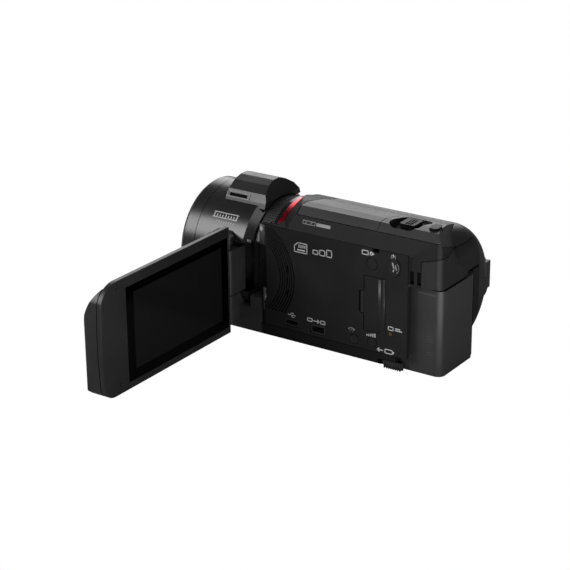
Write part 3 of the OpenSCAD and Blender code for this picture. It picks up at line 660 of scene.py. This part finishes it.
def lever_recess_painted_shade():
    """Painted shade: a thin deep-black plate over the floor of the zoom lever's recess, open round the
    lever's stem.
    """
    level, thick, r = 66.93, 0.12, 4.2
    lo, hi = (6.0, 45.8), (24.4, 61.2)
    outer = []
    for cx, cy, start in (
        (hi[0] - r, lo[1] + r, -90),
        (hi[0] - r, hi[1] - r, 0),
        (lo[0] + r, hi[1] - r, 90),
        (lo[0] + r, lo[1] + r, 180),
    ):
        outer += arc_line(cx, cy, r, start, start + 90, 8)
    inner = [(14.4, 51.0), (18.6, 51.0), (18.6, 57.8), (14.4, 57.8)]
    bm = bmesh.new()
    for loop in (outer, inner):
        verts = [bm.verts.new((x * MM, y * MM, level * MM)) for x, y in loop]
        for a, b in zip(verts, verts[1:] + verts[:1]):
            bm.edges.new((a, b))
    bmesh.ops.triangle_fill(bm, edges=list(bm.edges), use_beauty=True)
    bmesh.ops.solidify(bm, geom=list(bm.faces), thickness=thick * MM)
    well = piece("lever_recess_painted_shade", [], [], "dark", "body")
    bm.to_mesh(well.data)
    bm.free()


def neck_fins():
    """Fine ribs on the neck between the barrel and the rings."""
    count, first, pitch = 34, 40, 3.2
    half, y0, y1, root, tip = 0.28, -27.2, -21.6, 25.9, 26.35
    mid = Vector((0, 0, 36))
    verts, faces = [], []
    for i in range(count):
        a = math.radians(first + i * pitch)
        side = Vector((-math.sin(a), 0, math.cos(a))) * half
        out = Vector((math.cos(a), 0, math.sin(a)))
        base = len(verts)
        for r in (root, tip):
            for y, s in ((y0, -1), (y1, -1), (y1, 1), (y0, 1)):
                verts.append(mid + out * r + side * s + Vector((0, y, 0)))
        faces.append([base + k for k in (3, 2, 1, 0)])
        faces.append([base + k for k in (4, 5, 6, 7)])
        for k in range(4):
            j = (k + 1) % 4
            faces.append([base + k, base + j, base + 4 + j, base + 4 + k])
    piece("neck_ribs", verts, faces, "case", "body")


# ---------- strap ----------

STRAP_MID = (59.0, 26.4)
STRAP_Z = 32.2
STRAP_R = 101.8
LOOP_R = 2.1
LOOP_STEPS = 11


def strap_path(y):
    """A point in plan on the strap's curve at lengthways station y."""
    return (STRAP_MID[0] - math.sqrt(STRAP_R**2 - (y - STRAP_MID[1]) ** 2), y)


def strap_loop(bar, start, sweep):
    """Points of the webbing's turn round an upright bar, angles in degrees."""
    angles = [math.radians(start + sweep * i / LOOP_STEPS) for i in range(LOOP_STEPS + 1)]
    return [(bar[0] + LOOP_R * math.cos(t), bar[1] + LOOP_R * math.sin(t)) for t in angles]


def strap_tape():
    """Flat webbing from bar to bar, turned round each of them."""
    half, width, steps = 0.5, 8.2, 60
    first, last = -8.4, 63.2
    run = [strap_path(first + (last - first) * i / steps) for i in range(steps + 1)]
    front_bar, rear_bar, sweep = (-35.0, -10.0), (-32.6, 65.1), -210
    path = strap_loop(front_bar, 20, sweep) + run + strap_loop(rear_bar, 170, sweep)
    verts, faces = [], []
    for i, (x, y) in enumerate(path):
        ahead, behind = path[min(i + 1, len(path) - 1)], path[max(i - 1, 0)]
        dx, dy = ahead[0] - behind[0], ahead[1] - behind[1]
        size = math.hypot(dx, dy)
        nx, ny = -dy / size * half, dx / size * half
        for s in (-1, 1):
            for z in (STRAP_Z - width / 2, STRAP_Z + width / 2):
                verts.append((x + nx * s, y + ny * s, z))
    ring = (0, 1, 3, 2)
    for i in range(len(path) - 1):
        for k in range(4):
            a, b = ring[k], ring[(k + 1) % 4]
            faces.append([4 * i + a, 4 * i + b, 4 * i + 4 + b, 4 * i + 4 + a])
    faces.append(list(reversed(ring)))
    end = 4 * (len(path) - 1)
    faces.append([end + k for k in ring])
    return piece("strap_tape", verts, faces, "webbing", "body")


def strap_pad():
    """Padded hand rest: crowned between its stitched edges, lightly puckered at the stitching."""
    along, across = 96, 40
    y0, y1, z0, z1 = 0.4, 53.6, 20.2, 44.2
    corner, corner_run = 3.4, 6.0
    rim_width, seam_in = 2.6, 3.2
    outer_swell, inner_swell = 1.25, 1.6
    verts, faces = [], []
    for face in (-1, 1):
        for i in range(along + 1):
            t = i / along
            for j in range(across + 1):
                s = j / across
                end_gap = min(t, 1 - t) * (y1 - y0)
                # rounded plan corners
                edge = corner * (1 - min(1.0, (end_gap / corner_run)) ** 0.5)
                z = z0 + edge + (z1 - z0 - 2 * edge) * s
                y = y0 + (y1 - y0) * t
                gap = min(end_gap, min(z - z0 - edge, z1 - edge - z))
                crown = math.sin(math.pi / 2 * min(1.0, max(0.0, gap / rim_width))) ** 0.6
                seam = abs(gap - seam_in)
                dent = 0.55 * math.exp(-(seam / 0.45) ** 2)
                pucker = 0.12 * math.sin(y * 2.3) * math.exp(-(seam / 1.6) ** 2)
                crest = outer_swell if face > 0 else inner_swell
                swell = 0.35 + crown * crest - (dent - pucker) * crown
                x, _ = strap_path(y)
                verts.append((x - face * swell, y, z))
    count = (along + 1) * (across + 1)

    def at(face, i, j):
        return face * count + i * (across + 1) + j

    for i in range(along):
        for j in range(across):
            faces.append([at(0, i, j), at(0, i, j + 1), at(0, i + 1, j + 1), at(0, i + 1, j)])
            faces.append([at(1, i, j), at(1, i + 1, j), at(1, i + 1, j + 1), at(1, i, j + 1)])
    edge_loop = [(i, 0) for i in range(along)] + [(along, j) for j in range(across)]
    edge_loop += [(i, across) for i in range(along, 0, -1)] + [(0, j) for j in range(across, 0, -1)]
    for (i, j), (k, m) in zip(edge_loop, edge_loop[1:] + edge_loop[:1]):
        faces.append([at(0, i, j), at(0, k, m), at(1, k, m), at(1, i, j)])
    pad = piece("strap_pad", verts, faces, "padding", "body")
    for polygon in pad.data.polygons:
        polygon.use_smooth = True
    return pad


# ---------- scene ----------

make_camera()
make_light()
make_floor()
dress_nodes()
soften_edges()
side_marks()
other_marks()
side_trim()
hump_slot()
lever_ribs()
lever_recess_painted_shade()
collar_painted_shade()
battery_edge_painted_highlight()
neck_fins()
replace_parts(strap_pad(), "hand_strap")
strap_tape()
